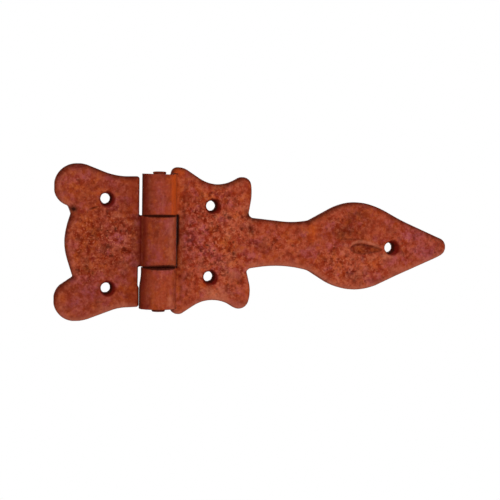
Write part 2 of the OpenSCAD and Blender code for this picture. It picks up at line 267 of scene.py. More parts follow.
STRAP_MARKS = {
    "stain": [
        (34.8, 1.9, 1.6, 3.2, 0.4), (38.9, 11.8, 2.2, 2.2, 0.4), (42.6, 3.3, 2.2, 2.2, 0.35),
        (36.4, -20.0, 1.6, 2.0, 0.4), (35.0, -15.6, 1.8, 4.6, 0.75), (117.4, 10.8, 3.2, 2.4, 0.65),
        (121.3, 8.8, 2.4, 1.8, 0.45), (63.8, -2.3, 2.6, 2.4, 0.4), (60.5, -15.4, 2.2, 2.2, 0.4),
        (129.9, 2.4, 2.4, 1.8, 0.4), (155.2, -1.3, 2.6, 2.4, 0.35),
    ],
    "glow": [
        (34.4, 34.0, 3.4, 2.4, 0.9), (50.2, 21.3, 2.0, 0.8, 0.7), (46.1, -12.7, 1.1, 1.0, 0.8),
        (47.0, -19.4, 1.3, 1.0, 0.8), (99.0, 5.0, 1.8, 4.5, 0.6), (128.0, -9.1, 3.3, 2.6, 0.4),
    ],
    "warm": [
        (35.0, -15.4, 1.8, 4.2, 0.8), (117.4, 10.4, 3.0, 2.4, 0.7), (63.8, -2.3, 2.6, 2.4, 0.6),
        (34.1, -0.7, 1.6, 32.7, 0.9), (58.0, -2.5, 6.0, 6.5, 0.6), (49.8, -21.9, 3.4, 2.8, 0.7),
        (47.9, 22.3, 3.3, 1.9, 0.5), (99.0, 5.7, 2.0, 4.3, 1.0), (128.0, -9.1, 3.5, 2.9, 0.7),
        (114.8, 4.3, 6.5, 2.9, 0.5), (120.6, 14.5, 4.0, 3.4, 0.4),
    ],
    "cool": [
        (40.0, 3.0, 5.0, 9.5, 0.7), (23.5, 24.0, 2.4, 6.5, 0.7), (44.3, 0.2, 3.8, 4.2, 0.6),
        (53.5, -6.3, 2.9, 1.9, 0.6), (149.9, 4.5, 8.1, 5.3, 0.55), (155.2, -3.7, 8.2, 5.3, 0.6),
        (141.1, -8.6, 5.1, 4.4, 0.5), (118.4, -1.4, 2.5, 1.9, 0.3),
    ],
    "pit": [
        (25.0, 32.0, 4.0, 1.4, 0.4), (35.0, -15.4, 1.6, 3.8, 0.16), (117.4, 10.4, 3.0, 2.4, 0.3),
        (63.8, -2.3, 2.6, 2.4, 0.1), (22.5, 22.0, 7.0, 9.5, 0.14), (68.7, 6.5, 1.7, 2.4, 0.8),
        (67.4, 13.3, 1.1, 1.4, 1.0), (36.5, 18.0, 0.8, 4.7, 0.18), (36.9, -12.5, 0.8, 2.8, 0.3),
        (35.5, -21.9, 0.8, 3.8, 0.4), (114.8, 6.0, 7.0, 3.4, 0.6), (120.0, 14.0, 4.5, 3.6, 0.45),
        (117.3, 2.4, 6.5, 0.5, 0.7), (76.1, -3.0, 2.9, 2.4, 0.35), (63.9, -27.6, 2.9, 1.4, 0.4),
        (120.1, -15.4, 4.0, 2.9, 0.35),
    ],
    "rub": [
        (121.6, -15.6, 2.6, 1.8, 0.7), (124.7, -12.0, 2.4, 1.8, 0.7), (115.4, -17.4, 2.4, 1.2, 0.7),
        (49.8, -23.0, 2.2, 1.8, 1.3), (88.0, -9.0, 3.0, 1.5, 0.8), (68.3, 10.8, 1.8, 1.8, 0.7),
        (120.0, -6.9, 2.2, 1.8, 0.6), (46.4, -11.1, 2.0, 1.8, 0.6), (53.6, -25.2, 3.2, 2.6, 2.2),
        (48.6, -21.6, 2.4, 1.5, 0.9), (54.8, -21.9, 2.4, 2.2, 1.1), (136.0, -6.0, 3.0, 1.9, 1.2),
        (141.0, -12.0, 2.6, 1.6, 0.7), (65.8, 16.9, 2.0, 2.2, 0.7), (57.0, 14.6, 2.2, 2.0, 0.7),
        (29.0, -26.2, 1.8, 2.4, 1.2), (30.3, -30.0, 1.6, 1.2, 0.7), (58.0, -7.9, 2.6, 2.2, 0.7),
        (128.3, -6.9, 2.6, 1.4, 0.9), (58.8, 4.3, 2.2, 2.4, 0.6), (71.2, -9.3, 2.4, 1.4, 0.6),
        (54.5, -9.7, 2.0, 1.6, 0.5), (59.8, -14.8, 3.9, 2.4, 0.8), (67.2, 9.3, 0.8, 0.7, 1.2),
        (114.4, -3.8, 2.5, 1.9, 0.6), (57.6, 9.3, 3.8, 1.9, 0.35),
    ],
    "rough": [
        (52.0, 1.6, 20.0, 26.0, 1.0), (85.0, 0.2, 20.0, 9.0, 0.45), (117.0, -9.5, 18.0, 12.0, 0.85),
        (115.0, 9.0, 13.0, 8.0, 0.5), (146.0, -0.5, 16.0, 11.0, 0.4),
    ],
}

# What each kind of soft mark is multiplied by; stains are shown by the layer of the countersinks' flanks,
# which also carries painted shade
MARK_GAINS = {"stain": 1.3, "glow": 1.3, "warm": 1.3, "cool": 1.3, "pit": 1.5, "rub": 1.3}

# Layers that each point of a piece carries, for the material to colour it by: real pits, rubs, stains and
# rust colours, and also painted shade in recesses, gaps and along edges, and painted highlights on edges and
# ridges
LAYERS = ("pit", "rim", "rub", "warm", "cool", "rough", "brushed", "sink", "glow", "dust")

# Noises of the rust: waves in a metre, layers, roughness, and how many waves go upwards for each one across
RUST_NOISES = {
    "broad": (165, 3, 0.6, 1),
    "patch": (240, 4, 0.6, 1),
    "mottle": (380, 4, 0.72, 1),
    "fleck": (780, 2, 0.6, 1),
    "fine": (900, 2, 0.6, 1),
    "blotch": (230, 3, 0.65, 1),
    "streak": (330, 3, 0.6, 0.22),
}

# Coats of rust, one over the other: its colour, the noises and layers whose product is its strength, and for
# those that are stepped, from which value to which they go and how strong they are there (0 and 1 where not
# given). The tone is no colour of its own: it multiplies what lies below it.
PATCH_BREAKS = ("mottle", 0.3, 0.6, 0.6, 1)
RUST_COATS = (
    ("brown", [("patch", 0.47, 0.64, 0, 0.42)]),
    ("purple", [("broad", 0.50, 0.66, 0, 0.45)]),
    ("brown", [("warm",), PATCH_BREAKS]),
    ("purple", [("cool",), PATCH_BREAKS]),
    ("tone", []),
    ("deep", [("blotch", 0.50, 0.36), ("rough", 0, 1, 0.30, 0.62)]),
    ("bright", [("fleck", 0.55, 0.66), ("rough", 0, 1, 0.20, 0.70)]),
    ("deep", [("fine", 0.46, 0.34), ("rough", 0, 1, 0.20, 0.62)]),
    # Rubbed and orange rust, and painted highlights inside the left edges, on the knuckles' right sides and
    # on the dent's ridge
    ("bright", [("rub",), ("mottle", 0.35, 0.6, 0.4, 1)]),
    ("orange", [("glow",), ("mottle", 0.32, 0.55, 0.45, 1)]),
    # Then painted highlights on lower edges and the dent's ridge, painted shade with stains and with real
    # pits, and painted shade on edges
    ("dust", [("dust",)]),
    ("painted_shade_and_stain", [("sink",)]),
    ("dark", [("pit",)]),
    ("dark", [("rim",)]),
)

# What the tone multiplies by in dark and light spots, in dark and light brush lines, and where the rust is
# calm, with the steps of its spots and lines, and of its calm on rough rust
DARK_STEP, LIGHT_STEP = (0.70, 0.38, 0.20), (1.27, 1.58, 1.95)
DARK_LINE, LIGHT_LINE = (0.86, 0.80, 0.70), (1.12, 1.18, 1.30)
CALM_STEP = (0.97, 0.97, 0.97)
TONE_SHOWS, LINES_SHOW, CALM_ON_ROUGH = (0.37, 0.63), (0.35, 0.65), (0, 0.7, 0.40, 0)

# The shader's own settings for rust; its dullness follows the mottled noise
RUST_SPECULAR = 0.04
BUMP_STRENGTH = 0.6
BUMP_HEIGHT = 0.00025
BUMP_MOTTLE = 0.35
DULLNESS = (0.3, 0.7, 0.85, 0.65)

# What each piece's rust is multiplied by
LEAF_TINT = (0.92, 0.88, 0.84)
STRAP_TINT = (1.12, 1.08, 1.03)
PIN_TINT = (0.72, 0.7, 0.8)

# The floor, in metres: half its side, height and middle, and how white it is at two distances from there
FLOOR_HALF = 1.6
FLOOR_Z = -0.19
FLOOR_MIDDLE_X = 0.07
FLOOR_COLOUR = (0.86, 0.86, 0.86)
FLOOR_ROUGHNESS = 0.9
FLOOR_FADE = (0.06, 0.30, 0.5, 1)

# Each lamp's place from the hinge's middle, its width and its power in watts
LAMPS = {"key_lamp": ((-0.15, -0.95, 0.22), 0.45, 4.7), "side_lamp": ((0.85, -0.50, 0.10), 0.45, 1.5)}

# Where the surroundings are brightest, and their light from where they face away to where they face there
SKY_TOWARDS = (-0.05, -0.99, -0.12)
SKY_LIGHT = (-0.5, 1, 0.32, 0.50)

# The camera: its turns in degrees, its distance and aim in metres, and its lens and film in millimetres
CAMERA_AZIMUTH, CAMERA_ELEVATION, CAMERA_ROLL = -12.0, 3.0, 0.8
CAMERA_AWAY = 0.7
CAMERA_AIM = (0.06837, -0.00493821, -0.00298614)
CAMERA_LENS = 106.55
CAMERA_FILM = 36


def length(name, description, metres):
    """A length for the panel."""
    settings = dict(default=metres, unit="LENGTH", subtype="DISTANCE")
    return FloatProperty(name=name, description=description, **settings)


def paint(name, description, rgb):
    """A colour for the panel."""
    settings = dict(default=rgb, size=3, subtype="COLOR", min=0, max=1)
    return FloatVectorProperty(name=name, description=description, **settings)


class HingeSizes(bpy.types.PropertyGroup):
    """Sizes of the hinge's forged surfaces."""

    plate: length("Plate", "Thickness of both leaves", 0.005)
    edge: length("Edge", "Radius of the worn front edges", 0.001)
    hollow: length("Hollow", "Radius of the hollow between a knuckle and its plate", 0.0025)
    screw: length("Screw hole", "Radius of the screw holes", 0.0023)
    sink: length("Countersink", "Radius of the countersinks at the front", 0.004)
    step: length("Step", "Distance between the points of a leaf's surface", 0.0004)
    swell: length("Swell", "Height of the forging's slow waves", 0.00014)
    grain: length("Grain", "Height of the rust's grain", 0.00008)
    dent: length("Thumb dent", "Depth of the thumb dent", 0.0009)


class HingeColours(bpy.types.PropertyGroup):
    """Colours of the rust."""

    base: paint("Rust", "Colour of most of the rust", (0.285, 0.0435, 0.017))
    # Also the painted highlight inside the left edges, on the middle knuckle's right side and on the dent's
    # ridge
    bright: paint("Bright rust", "Colour of fresh, rubbed rust", (0.50, 0.135, 0.070))
    brown: paint("Brown rust", "Colour of the orange-brown patches", (0.37, 0.060, 0.005))
    purple: paint("Purple rust", "Colour of the purple patches", (0.295, 0.050, 0.056))
    deep: paint("Deep rust", "Colour of the dark blotches", (0.09, 0.0055, 0.001))
    # Also the painted highlight along the right side of the strap's knuckles
    orange: paint("Orange rust", "Colour of the fresh orange streaks", (0.46, 0.060, 0.0075))
    # A painted highlight along the lower edges and on the dent's ridge
    dust: paint("Dust", "Colour of the pale sheen along the lower edges", (0.36, 0.098, 0.055))
    # Painted shade in the countersinks, beside the knuckles and in the dent, and also stains
    painted_shade_and_stain: paint("Flank rust", "Colour of the countersinks' flanks and of stains", (0.120, 0.0028, 0.0012))
    # Colours real pits, and painted shade in gaps, crevices, the upper notch and along the edges
    dark: paint("Dark rust", "Colour of pits and crevices", (0.030, 0.0035, 0.0012))


# ---------------------------------------------------------------- shapes worked out as arrays


def units(v):
    """Vectors divided by their own length."""
    return v / np.linalg.norm(v, axis=-1, keepdims=True)


def rounded_outline(corners, steps=12):
    """Outline whose corners are arcs that touch both of their sides. An arc's centre lies on the corner's
    bisector, at the radius over the sine of half the corner's angle; a radius too large for its sides is cut
    to what they hold."""
    corners = np.array(corners, float)
    p = corners[:, :2]
    back = units(np.roll(p, 1, 0) - p)
    ahead = units(np.roll(p, -1, 0) - p)
    half = np.arccos(np.clip((back * ahead).sum(1), -1, 1)) / 2
    reach = corners[:, 2] / np.tan(half)
    side = np.linalg.norm(np.roll(p, -1, 0) - p, axis=1)
    share = np.minimum(1, 0.98 * side / (reach + np.roll(reach, -1)))
    r = corners[:, 2] * np.minimum(share, np.roll(share, 1))
    centre = p + units(back + ahead) * (r / np.sin(half))[:, None]
    start = p + back * (r / np.tan(half))[:, None] - centre
    turn = np.where(back[:, 0] * ahead[:, 1] < back[:, 1] * ahead[:, 0], 1, -1) * (np.pi - 2 * half)
    a = np.arctan2(start[:, 1], start[:, 0])[:, None] + turn[:, None] * np.linspace(0, 1, steps + 1)
    arcs = centre[:, None] + r[:, None, None] * np.stack([np.cos(a), np.sin(a)], -1)
    return arcs.reshape(-1, 2)


def distance_to(outline, x, z):
    """Distance of each point to the nearest side of a closed outline, taken as negative inside it. A point is
    inside where the sides to its right cross its height an odd number of times."""
    nearest = np.full(x.shape, np.inf)
    inside = np.zeros(x.shape, bool)
    for (ax, az), (bx, bz) in zip(outline, np.roll(outline, -1, 0)):
        ex, ez = bx - ax, bz - az
        t = np.clip(((x - ax) * ex + (z - az) * ez) / (ex * ex + ez * ez), 0, 1)
        np.minimum(nearest, (x - ax - t * ex) ** 2 + (z - az - t * ez) ** 2, out=nearest)
        if az != bz:
            inside ^= ((az > z) != (bz > z)) & (x < (z - az) * ex / ez + ax)
    return np.where(inside, -1, 1) * np.sqrt(nearest)


def even_lines(low, high, step, kept):
    """Sorted positions from low to high about a step apart, with the kept ones among them, uncrowded."""
    even = np.linspace(low, high, int(np.ceil((high - low) / step)) + 1)
    kept = np.unique(np.round([k for k in kept if low <= k <= high], 6))
    clear = np.abs(even[:, None] - kept[None]).min(1) > 0.6 * step
    return np.sort(np.concatenate([even[clear], kept]))


def snapped_grid(xs, zs, distance):
    """Grid over xs and zs, with each point that is nearest to where the outline crosses its grid lines moved
    there. The crossing lies where the distance, taken as even between two neighbours, is nought."""
    x, z = np.meshgrid(xs, zs, indexing="ij")
    s = distance(x, z)
    s[np.abs(s) < 1e-6] = 0
    best = np.full(x.shape, np.inf)
    to_x, to_z = x.copy(), z.copy()
    for axis in (0, 1):
        for way in (1, -1):
            s2, x2, z2 = (np.roll(a, -way, axis) for a in (s, x, z))
            apart = np.hypot(x2 - x, z2 - z)
            crossed = (s * s2 < 0) & (apart < 2)
            t = np.where(crossed, s / np.where(crossed, s - s2, 1), 1)
            near = (t <= 0.5) & (t * apart < best)
            best = np.where(near, t * apart, best)
            to_x = np.where(near, x + t * (x2 - x), to_x)
            to_z = np.where(near, z + t * (z2 - z), to_z)
    return to_x, to_z, np.where(np.isfinite(best), 0, s)


def kept_faces(x, z, s, distance):
    """The grid's cells inside the outline, in rows of four, and halves of those it cuts, in rows of three."""
    ids = np.arange(x.size).reshape(x.shape)
    cell = np.stack([ids[:-1, :-1], ids[1:, :-1], ids[1:, 1:], ids[:-1, 1:]], -1).reshape(-1, 4)
    sign = s.ravel()[cell]
    out = sign > 0
    one_out = out.sum(1) == 1
    quads, cut = cell[~out.any(1)], cell[one_out]
    gone = out[one_out].argmax(1)
    tris = cut[np.arange(len(cut))[:, None], (gone[:, None] + np.arange(1, 4)) % 4]
    kept = []
    for faces in (quads, tris):
        doubtful = (s.ravel()[faces] == 0).all(1)
        cx, cz = x.ravel()[faces].mean(1), z.ravel()[faces].mean(1)
        good = np.ones(len(faces), bool)
        good[doubtful] = distance(cx[doubtful], cz[doubtful]) < 0
        kept.append(faces[good])
    return kept


def closed_shell(x, z, s, distance, heights, rows):
    """A closed surface between a front and a back height over one snapped grid. The front's open sides are
    the ones that no neighbour walks the other way; each is carried down to the back in rows of even steps."""
    quads, tris = kept_faces(x, z, s, distance)
    used = np.unique(np.concatenate([quads.ravel(), tris.ravel()]))
    place = np.full(x.size, -1)
    place[used] = np.arange(len(used))
    quads, tris = place[quads], place[tris]
    px, pz = x.ravel()[used], z.ravel()[used]
    front, back = heights(px, pz)
    count = len(used)
    sides = np.concatenate([np.stack([f, np.roll(f, -1, 1)], -1).reshape(-1, 2) for f in (quads, tris)])
    key = sides[:, 0] * count + sides[:, 1]
    open_sides = sides[~np.isin(key, sides[:, 1] * count + sides[:, 0])]
    rim = np.unique(open_sides)
    rank = np.full(count, -1)
    rank[rim] = np.arange(len(rim))
    down = np.arange(1, rows)[:, None] / rows
    wall_h = front[rim] + (back[rim] - front[rim]) * down
    points = np.concatenate(
        [
            np.stack([px, -front, pz], -1),
            np.stack([px, -back, pz], -1),
            np.stack([np.tile(px[rim], rows - 1), -wall_h.ravel(), np.tile(pz[rim], rows - 1)], -1),
        ]
    )
    between = [2 * count + r * len(rim) + np.arange(len(rim)) for r in range(rows - 1)]
    levels = [rim, *between, rim + count]
    a, b = rank[open_sides[:, 0]], rank[open_sides[:, 1]]
    walls = [np.stack([hi[b], hi[a], lo[a], lo[b]], -1) for hi, lo in zip(levels, levels[1:])]
    quads = np.concatenate([quads, quads[:, ::-1] + count, *walls])
    return points, [quads, np.concatenate([tris, tris[:, ::-1] + count])]


def normals_of(points, faces):
    """Each point's normal: the sum of its faces' normals, each as long as its face is large, scaled to 1."""
    total = np.zeros_like(points)
    for f in faces:
        p = points[f]
        n = np.cross(p[:, 2] - p[:, 0], p[:, -1] - p[:, 1])
        if f.shape[1] == 3:
            n = np.cross(p[:, 1] - p[:, 0], p[:, 2] - p[:, 0])
        for k in range(f.shape[1]):
            for axis in range(3):
                total[:, axis] += np.bincount(f[:, k], n[:, axis], len(points))
    return total / np.maximum(np.linalg.norm(total, axis=1, keepdims=True), 1e-12)


class Noise:
    """Smooth noise from 0 to 1: random values at the corners of unit cubes, blended inside each cube by the
    weights 3t² - 2t³ along its three sides. The values repeat every 32 cubes."""

    size = 32

    def __init__(self, seed):
        self.values = np.random.default_rng(seed).random((self.size,) * 3)

    def __call__(self, points, wave):
        p = points / wave
        low = np.floor(p).astype(int)
        t = p - low
        t = t * t * (3 - 2 * t)
        total = 0
        for dx in (0, 1):
            for dy in (0, 1):
                for dz in (0, 1):
                    i, j, k = ((low + (dx, dy, dz)) % self.size).T
                    w = np.abs(1 - dx - t[:, 0]) * np.abs(1 - dy - t[:, 1]) * np.abs(1 - dz - t[:, 2])
                    total = total + w * self.values[i, j, k]
        return total


def layered(noise, points, wave, layers=3, fade=0.55):
    """Noise on top of noise, each layer half as wide and weaker by the fade, scaled back to 0 to 1."""
    total, weight = 0, 0
    for k in range(layers):
        total = total + noise(points + 17.3 * k, wave / 2**k) * fade**k
        weight += fade**k
    return total / weight


def ramp(value, low, high):
    """0 below low, 1 above high, and 3t² - 2t³ between them."""
    t = np.clip((value - low) / (high - low), 0, 1)
    return t * t * (3 - 2 * t)


def edge_drop(depth, radius):
    """How far a rounded edge lies below its face, at a depth in from the edge: a quarter circle."""
    t = radius - np.clip(depth, 0, radius)
    return radius - np.sqrt(radius * radius - t * t)


def band(value, middle, width):
    """A soft band: e to the minus squared distance from its middle, taken in widths."""
    return np.exp(-(((value - middle) / width) ** 2))


def spot(x, z, middle_x, middle_z, wide, high):
    """A soft spot: e to the minus squared distance from its middle, taken in half widths and half heights."""
    return np.exp(-(((x - middle_x) / wide) ** 2) - ((z - middle_z) / high) ** 2)


def patches(x, z, rows):
    """The strongest of some soft marks at each point: each is a soft spot times its strength."""
    total = np.zeros(len(x))
    for *place, strength in rows:
        total = np.maximum(total, strength * spot(x, z, *place))
    return total


def sink_depth(x, z, holes, sizes):
    """How far each point lies inside the nearest countersink's rim."""
    inside = [sizes.sink / MM - np.hypot(x - h.x - h.aside, z - h.z - h.above) for h in holes]
    return np.max(inside, 0)


def bore_shade(x, z, holes, sizes):
    """How much painted shade each point gets beside a screw hole: most at its lower right edge."""
    shade = np.zeros(len(x))
    for hole in holes:
        away = np.maximum(np.hypot(x - hole.x, z - hole.z), 0.1)
        facing = (0.85 * (x - hole.x) - 0.5 * (z - hole.z)) / away
        shade = np.maximum(shade, ramp(away - sizes.screw / MM, 1.3, 0.6) * ramp(facing, -0.5, 0.4))
    return shade


def countersunk(height, x, z, holes, sizes):
    """The lower of a height and the cone of each countersink, which falls by 1 for 1 inside its rim, blended
    where they meet."""
    inside = sink_depth(x, z, holes, sizes)
    cone = sizes.plate / MM - inside
    blend = np.clip(0.5 + (cone - height) / (2 * SINK_SOFT), 0, 1)
    sunk = cone + (height - cone) * blend - SINK_SOFT * blend * (1 - blend)
    return np.where(inside > -1, np.maximum(sunk, SINK_FLOOR), height)


def barrel_profile(s, sizes):
    """Height of a knuckle's front at a distance s from the pin towards its plate: the barrel's circle, and
    then the hollow's circle, which touches both the barrel and the plate's face."""
    plate, hollow = sizes.plate / MM, sizes.hollow / MM
    reach = np.sqrt((BARREL_R + hollow) ** 2 - (plate + hollow - AXIS_H) ** 2)
    touch = reach * BARREL_R / (BARREL_R + hollow)
    barrel = AXIS_H + np.sqrt(np.maximum(BARREL_R**2 - s * s, 0))
    curve = plate + hollow - np.sqrt(np.maximum(hollow**2 - (reach - s) ** 2, 0))
    return np.where(s < touch, barrel, np.where(s < reach, curve, plate))


def end_drop(x, z, knuckle):
    """How far a knuckle's rounded ends lie below its barrel: quarter circles, the foot's wider on the
    right."""
    foot_r = knuckle.left_edge + (knuckle.right_edge - knuckle.left_edge) * ramp(x - PIN_X, -7, 7)
    return edge_drop(z - knuckle.foot, foot_r) + edge_drop(knuckle.top - z, knuckle.top_edge)


def leaf_heights(x, z, depth, leaf, sizes):
    """Front and back height of a leaf over each point, which lies a depth in from its outline. The front is
    the plate with its rounded edge, or the knuckle where that is higher. The back is flat, but for the
    barrel's free side, which is the other half of its circle."""
    s = (x - PIN_X) * leaf.side
    front = np.where(s < 0, -1, sizes.plate / MM - edge_drop(depth, sizes.edge / MM))
    back = edge_drop(depth, BACK_EDGE)
    round_back = np.maximum(0, AXIS_H - np.sqrt(np.maximum(BARREL_R**2 - s * s, 0)))
    beside = s < BARREL_R + sizes.hollow / MM + 0.2
    for knuckle in leaf.knuckles:
        here = np.minimum(z - knuckle.foot, knuckle.top - z) > -0.4
        end = end_drop(x, z, knuckle)
        front = np.where(here & beside, np.maximum(front, barrel_profile(s, sizes) - end), front)
        back = np.where(here & (s < 0), round_back + np.minimum(end, 0.6) * (s > -0.9 * BARREL_R), back)
    return countersunk(front, x, z, leaf.holes, sizes), back


def make_piece(name, points, faces, layers, keep_in=None):
    """A Blender object from points in millimetres, faces in rows of four and three, and one value per point
    for each named layer."""
    if keep_in is not None:
        points = np.clip(points, keep_in[0], keep_in[1])
    mesh = bpy.data.meshes.new(name)
    mesh.vertices.add(len(points))
    mesh.vertices.foreach_set("co", (points * MM).ravel())
    corners = np.concatenate([f.ravel() for f in faces])
    sizes = np.concatenate([np.full(len(f), f.shape[1]) for f in faces])
    mesh.loops.add(len(corners))
    mesh.loops.foreach_set("vertex_index", corners)
    mesh.polygons.add(len(sizes))
    mesh.polygons.foreach_set("loop_start", np.concatenate([[0], np.cumsum(sizes)[:-1]]))
    mesh.update(calc_edges=True)
    if mesh.validate(verbose=False):
        raise RuntimeError(f"{name} has a face or a side that doesn't fit")
    for layer, values in layers.items():
        mesh.attributes.new(layer, "FLOAT", "POINT").data.foreach_set("value", values.astype(np.float32))
    mesh.shade_smooth()
    obj = bpy.data.objects.new(name, mesh)
    bpy.context.scene.collection.objects.link(obj)
    return obj


def lathe(profile, turns, centre):
    """Surface of revolution about an upright line: each row of radius and height is carried round it in even
    turns. Both ends are closed by a point on the line."""
    a = np.linspace(0, 2 * np.pi, turns, endpoint=False)
    r, h = np.array(profile, float).T
    r, h = r[:, None], h[:, None]
    ring = np.stack([centre[0] + r * np.cos(a), centre[1] + r * np.sin(a), np.repeat(h, turns, 1)], -1)
    points = np.concatenate([ring.reshape(-1, 3), [[*centre, h[0, 0]], [*centre, h[-1, 0]]]])
    ids = np.arange(len(profile) * turns).reshape(-1, turns)
    nxt = np.roll(ids, -1, 1)
    quads = np.stack([ids[:-1], nxt[:-1], nxt[1:], ids[1:]], -1).reshape(-1, 4)
    low = np.stack([np.full(turns, len(points) - 2), nxt[0], ids[0]], -1)
    high = np.stack([np.full(turns, len(points) - 1), ids[-1], nxt[-1]], -1)
    return points, [quads, np.concatenate([low, high])]


def bored(obj, radius, low, high):
    """Cuts a round hole of a radius through a piece along the pin's line, from low to high."""
    points, faces = lathe([(radius, low), (radius, high)], AROUND, (PIN_X, PIN_Y))
    cutter = make_piece("pin_way", points, faces, {})
    cut = obj.modifiers.new("pin_way", "BOOLEAN")
    cut.operation = "DIFFERENCE"
    cut.solver = "MANIFOLD"
    cut.object = cutter
    mesh = bpy.data.meshes.new_from_object(obj.evaluated_get(bpy.context.evaluated_depsgraph_get()))
    obj.modifiers.clear()
    old, obj.data = obj.data, mesh
    bpy.data.objects.remove(cutter)
    mesh.name = old.name
    bpy.data.meshes.remove(old)


# ---------------------------------------------------------------- materials


def link(tree, source, target):
    """Joins an output to an input."""
    tree.links.new(source, target)


def noise_node(tree, coords, scale, detail, rough, seed, stretch=(1, 1, 1)):
    """A Noise Texture on Object coordinates moved by the seed and drawn out along the axes."""
    shift = tree.nodes.new("ShaderNodeMapping")
    shift.inputs["Location"].default_value = (seed * 0.31, seed * 0.17, seed * 0.23)
    shift.inputs["Scale"].default_value = stretch
    link(tree, coords, shift.inputs["Vector"])
    node = tree.nodes.new("ShaderNodeTexNoise")
    node.inputs["Scale"].default_value = scale
    node.inputs["Detail"].default_value = detail
    node.inputs["Roughness"].default_value = rough
    link(tree, shift.outputs["Vector"], node.inputs["Vector"])
    return node.outputs["Fac"]


def steps_node(tree, value, low, high, to_low=0.0, to_high=1.0):
    """A Map Range that goes smoothly from one value to another as its input goes from low to high."""
    node = tree.nodes.new("ShaderNodeMapRange")
    node.interpolation_type = "SMOOTHSTEP"
    node.inputs["From Min"].default_value = low
    node.inputs["From Max"].default_value = high
    node.inputs["To Min"].default_value = to_low
    node.inputs["To Max"].default_value = to_high
    link(tree, value, node.inputs["Value"])
    return node.outputs["Result"]


def mix_node(tree, factor, first, second, blend="MIX"):
    """A mix of two colours, each a socket or a fixed colour, by a factor that is a socket or a number."""
    node = tree.nodes.new("ShaderNodeMix")
    node.data_type = "RGBA"
    node.blend_type = blend
    for value, socket in ((factor, node.inputs[0]), (first, node.inputs[6]), (second, node.inputs[7])):
        if isinstance(value, bpy.types.NodeSocket):
            link(tree, value, socket)
        elif isinstance(value, (int, float)):
            socket.default_value = value
        else:
            socket.default_value = (*value, 1)
    return node.outputs[2]


def math_node(tree, operation, first, second):
    """A Math node of two sockets."""
    node = tree.nodes.new("ShaderNodeMath")
    node.operation = operation
    link(tree, first, node.inputs[0])
    link(tree, second, node.inputs[1])
    return node.outputs[0]


def layer_node(tree, name):
    """The value of one of the piece's own layers."""
    node = tree.nodes.new("ShaderNodeAttribute")
    node.attribute_name = name
    return node.outputs["Fac"]


def rust_material(name, seed, tint):
    """Mottled rust: brown and purple patches over a red-brown that goes from dark to light in small steps,
    with fine pits and flecks where the plate is rough, and the piece's own layers on top."""
    colours = bpy.context.scene.hinge_colours
    material = bpy.data.materials.new(name)
    material.use_nodes = True
    tree = material.node_tree
    shader = tree.nodes["Principled BSDF"]
    coords = tree.nodes.new("ShaderNodeTexCoord").outputs["Object"]
    parts = {layer: layer_node(tree, layer) for layer in LAYERS}
    for number, (kind, (waves, detail, roughness, upwards)) in enumerate(RUST_NOISES.items()):
        parts[kind] = noise_node(tree, coords, waves, detail, roughness, seed + number, (1, 1, upwards))
    tone = mix_node(tree, steps_node(tree, parts["mottle"], *TONE_SHOWS), DARK_STEP, LIGHT_STEP)
    lines = mix_node(tree, steps_node(tree, parts["streak"], *LINES_SHOW), DARK_LINE, LIGHT_LINE)
    tone = mix_node(tree, parts["brushed"], tone, lines)
    tone = mix_node(tree, steps_node(tree, parts["rough"], *CALM_ON_ROUGH), tone, CALM_STEP)
    colour = tuple(c * t for c, t in zip(colours.base, tint))
    for coat, made_of in RUST_COATS:
        if coat == "tone":
            colour = mix_node(tree, 1.0, colour, tone, "MULTIPLY")
            continue
        amounts = []
        for part, *steps in made_of:
            amounts.append(steps_node(tree, parts[part], *steps) if steps else parts[part])
        amount = amounts[0] if len(amounts) == 1 else math_node(tree, "MULTIPLY", *amounts)
        colour = mix_node(tree, amount, colour, getattr(colours, coat))
    link(tree, colour, shader.inputs["Base Color"])
    link(tree, steps_node(tree, parts["mottle"], *DULLNESS), shader.inputs["Roughness"])
    shader.inputs["Specular IOR Level"].default_value = RUST_SPECULAR
    bump = tree.nodes.new("ShaderNodeBump")
    bump.inputs["Strength"].default_value = BUMP_STRENGTH
    bump.inputs["Distance"].default_value = BUMP_HEIGHT
    link(tree, mix_node(tree, BUMP_MOTTLE, parts["fine"], parts["mottle"]), bump.inputs["Height"])
    link(tree, bump.outputs["Normal"], shader.inputs["Normal"])
    return material


def plain_material(name, colour, rough):
    """One colour, for the stage."""
    material = bpy.data.materials.new(name)
    material.use_nodes = True
    shader = material.node_tree.nodes["Principled BSDF"]
    shader.inputs["Base Color"].default_value = (*colour, 1)
    shader.inputs["Roughness"].default_value = rough
    return material


# ---------------------------------------------------------------- pieces


def near_ends(knuckles):
    """Grid lines packed close to the ends of the knuckles, where the rounded ends need them."""
    close = np.array([-0.12, 0, 0.08, 0.18, 0.32, 0.5])
    return np.concatenate([np.concatenate([k.foot + close, k.top - close]) for k in knuckles])


def barrel_lines(side):
    """Grid lines across a barrel at even turns of about 3.2 degrees, and closer ones across its hollow."""
    turn = np.arcsin(SIDE_END)
    across = BARREL_R * np.sin(np.linspace(-turn, turn, 56))
    hollow = np.array([8.08, 8.12, 8.2, 8.33, 8.5, 8.72, 9.0, 9.3, 9.65, 10.05, 10.5])
    return PIN_X + side * np.concatenate([across, hollow])


